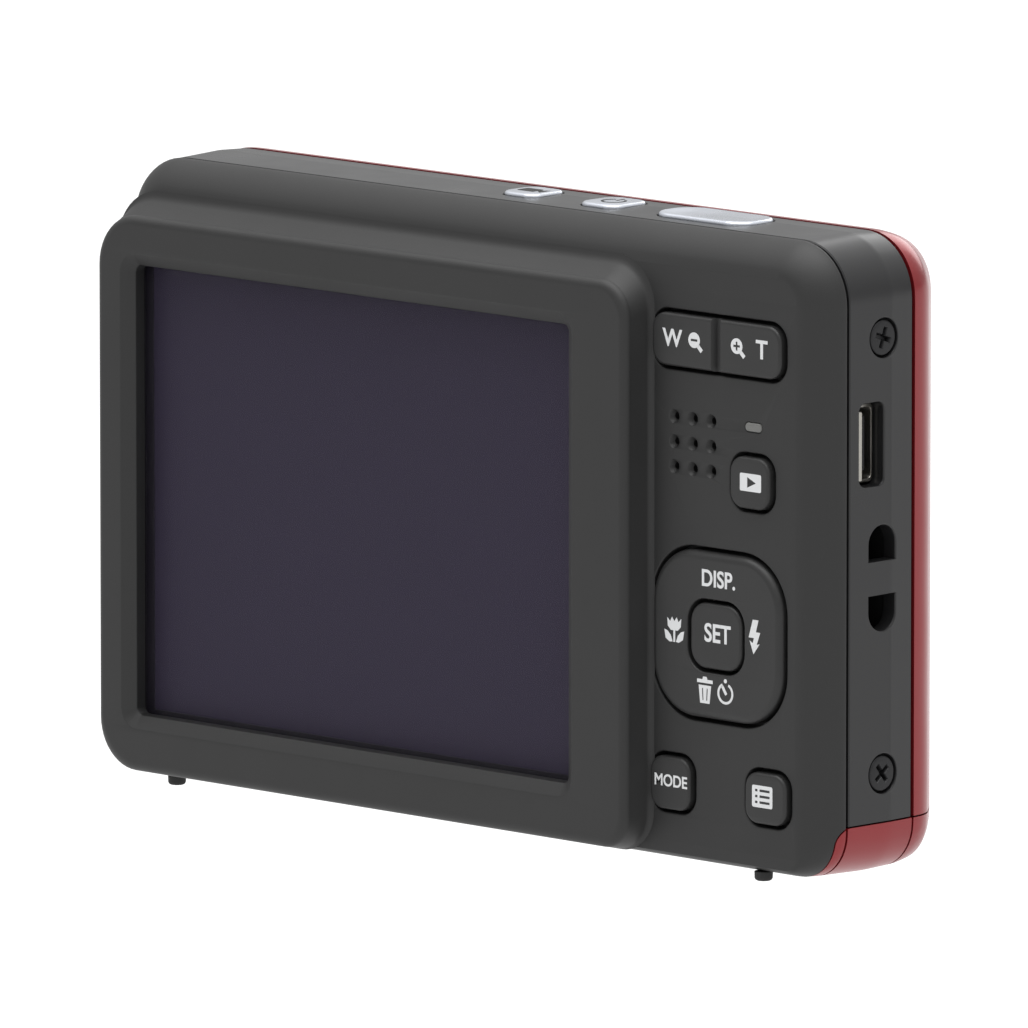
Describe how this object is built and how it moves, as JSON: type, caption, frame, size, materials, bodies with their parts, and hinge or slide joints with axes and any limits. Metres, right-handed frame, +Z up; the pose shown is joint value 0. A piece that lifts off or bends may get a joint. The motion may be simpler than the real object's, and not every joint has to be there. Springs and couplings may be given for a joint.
{
  "type": "compact digital camera",
  "caption": "Compact digital camera with a rear display, control keys, a telescoping zoom lens, a hand grip and a hinged battery door.",
  "frame": {"origin": "bottom centre of the whole camera, with the feet on z = 0", "axes": "+X towards the side away from the grip (right when seen from the front), +Y towards the back with the display, +Z up; the lens looks along -Y"},
  "size_m": [0.093, 0.0286, 0.0609],
  "materials": {
    "rear_shell": "fine matte charcoal paint",
    "frame_shell": "satin charcoal paint",
    "front_paint": "red metallic paint",
    "key_plastic": "satin black",
    "inner_plastic": "moulded black",
    "silver": "silver plated",
    "barrel_metal": "anodised silver",
    "steel": "pressed sheet",
    "black_screw": "black oxide",
    "brass": "turned",
    "clear": "clear",
    "lens_glass": "coated",
    "screen": "switched off display",
    "board": "solder mask",
    "rubber": "moulded",
    "cell": "printed wrap",
    "light_guide": "frosted"
  },
  "bodies": {
    "camera_body": {"front_cover": "front_paint", "middle_frame": "frame_shell", "rear_cover": "rear_shell", "display_window": "clear", "display_panel": "screen", "status_light": "light_guide", "key_board": "board", "speaker": "inner_plastic", "screw_grip_side_upper": "black_screw", "screw_grip_side_lower": "black_screw", "screw_far_side_upper": "black_screw", "screw_far_side_lower": "black_screw", "strap_pocket": "inner_plastic", "data_socket": "steel", "data_socket_tongue": "inner_plastic", "foot_rear_grip": "rubber", "foot_rear_far": "rubber", "foot_front_far": "rubber", "tripod_socket": "brass", "flash_window": "clear", "flash_reflector": "silver", "flash_capacitor": "cell", "focus_lamp": "clear", "lens_trim_ring": "barrel_metal", "lens_housing": "inner_plastic", "focus_lens": "lens_glass", "image_sensor": "inner_plastic", "zoom_motor": "steel", "main_board": "board", "battery_chamber": "inner_plastic", "battery_cell_1": "cell", "battery_cell_2": "cell", "contact_positive": "steel", "contact_negative": "steel", "memory_card": "inner_plastic", "card_socket": "steel", "top_switch_board": "board", "shutter_spring": "steel"},
    "play_key": {"play_button": "key_plastic"},
    "mode_key": {"mode_button": "key_plastic"},
    "menu_key": {"menu_button": "key_plastic"},
    "set_key": {"set_button": "key_plastic"},
    "pad_gimbal": {"pad_pivot_ring": "steel"},
    "pad": {"navigation_pad": "key_plastic"},
    "zoom_key": {"zoom_rocker": "key_plastic"},
    "cam_ring": {"zoom_cam_ring": "inner_plastic"},
    "pinion": {"zoom_pinion": "brass"},
    "barrel_outer": {"outer_barrel": "barrel_metal"},
    "barrel_inner": {"inner_barrel": "barrel_metal", "front_lens": "lens_glass"},
    "blade_upper": {"barrier_blade_upper": "black_screw"},
    "blade_lower": {"barrier_blade_lower": "black_screw"},
    "door_slider": {"door_carrier": "inner_plastic", "door_hinge_pin": "steel"},
    "door": {"battery_door": "front_paint", "door_contact_plate": "steel", "foot_front_grip": "rubber"},
    "record_key": {"record_button": "silver"},
    "power_key": {"power_button": "silver"},
    "shutter_key": {"shutter_button": "silver"}
  },
  "joints": [
    {"name": "play_press", "type": "slide", "parent": "camera_body", "child": "play_key", "axis": [0, -1, 0], "range_m": [0, 0.0003], "stiffness_N_per_m": 400},
    {"name": "mode_press", "type": "slide", "parent": "camera_body", "child": "mode_key", "axis": [0, -1, 0], "range_m": [0, 0.0003], "stiffness_N_per_m": 400},
    {"name": "menu_press", "type": "slide", "parent": "camera_body", "child": "menu_key", "axis": [0, -1, 0], "range_m": [0, 0.0003], "stiffness_N_per_m": 400},
    {"name": "set_press", "type": "slide", "parent": "camera_body", "child": "set_key", "axis": [0, -1, 0], "range_m": [0, 0.0003], "stiffness_N_per_m": 400},
    {"name": "pad_tilt_up_down", "type": "hinge", "parent": "camera_body", "child": "pad_gimbal", "pos_m": [-0.03315, 0.00895, 0.0227], "axis": [1, 0, 0], "range_deg": [-1.5, 1.5], "stiffness_Nm_per_rad": 0.05},
    {"name": "pad_tilt_left_right", "type": "hinge", "parent": "pad_gimbal", "child": "pad", "pos_m": [-0.03315, 0.00895, 0.0227], "axis": [0, 0, 1], "range_deg": [-1.5, 1.5], "stiffness_Nm_per_rad": 0.05},
    {"name": "zoom_rocker_tilt", "type": "hinge", "parent": "camera_body", "child": "zoom_key", "pos_m": [-0.03312, 0.0093, 0.0502], "axis": [0, 0, 1], "range_deg": [-2, 2], "stiffness_Nm_per_rad": 0.05},
    {"name": "record_press", "type": "slide", "parent": "camera_body", "child": "record_key", "axis": [0, 0, -1], "range_m": [0, 0.0003], "stiffness_N_per_m": 400},
    {"name": "power_press", "type": "slide", "parent": "camera_body", "child": "power_key", "axis": [0, 0, -1], "range_m": [0, 0.0003], "stiffness_N_per_m": 400},
    {"name": "shutter_press", "type": "slide", "parent": "camera_body", "child": "shutter_key", "axis": [0, 0, -1], "range_m": [0, 0.0004], "stiffness_N_per_m": 400, "deforming": ["shutter_spring"]},
    {"name": "zoom_cam_turn", "type": "hinge", "parent": "camera_body", "child": "cam_ring", "pos_m": [0.0125, 0, 0.0309], "axis": [0, -1, 0], "range_deg": [0, 110]},
    {"name": "zoom_pinion_turn", "type": "hinge", "parent": "camera_body", "child": "pinion", "pos_m": [0.02576, 0, 0.01764], "axis": [0, -1, 0], "range_deg": [-578, 0]},
    {"name": "outer_barrel_extend", "type": "slide", "parent": "camera_body", "child": "barrel_outer", "axis": [0, -1, 0], "range_m": [0, 0.008]},
    {"name": "inner_barrel_extend", "type": "slide", "parent": "barrel_outer", "child": "barrel_inner", "axis": [0, -1, 0], "range_m": [0, 0.006]},
    {"name": "barrier_upper_open", "type": "hinge", "parent": "barrel_inner", "child": "blade_upper", "pos_m": [0.0055, -0.0127, 0.0316], "axis": [0, -1, 0], "range_deg": [0, 38]},
    {"name": "barrier_lower_open", "type": "hinge", "parent": "barrel_inner", "child": "blade_lower", "pos_m": [0.0195, -0.0127, 0.0302], "axis": [0, -1, 0], "range_deg": [0, 38]},
    {"name": "door_unlatch", "type": "slide", "parent": "camera_body", "child": "door_slider", "axis": [-1, 0, 0], "range_m": [0, 0.003]},
    {"name": "door_swing", "type": "hinge", "parent": "door_slider", "child": "door", "pos_m": [-0.0102, 0, 0.0019], "axis": [0, -1, 0], "range_deg": [0, 100]}
  ],
  "couplings": [
    {"joint": "inner_barrel_extend", "follows": "outer_barrel_extend", "ratio": 0.75},
    {"joint": "zoom_cam_turn", "follows": "outer_barrel_extend", "rad_per_m": 239.98},
    {"joint": "zoom_pinion_turn", "follows": "outer_barrel_extend", "rad_per_m": -1259.9},
    {"joint": "barrier_upper_open", "follows": "outer_barrel_extend", "rad_per_m": 82.903},
    {"joint": "barrier_lower_open", "follows": "outer_barrel_extend", "rad_per_m": 82.903}
  ]
}
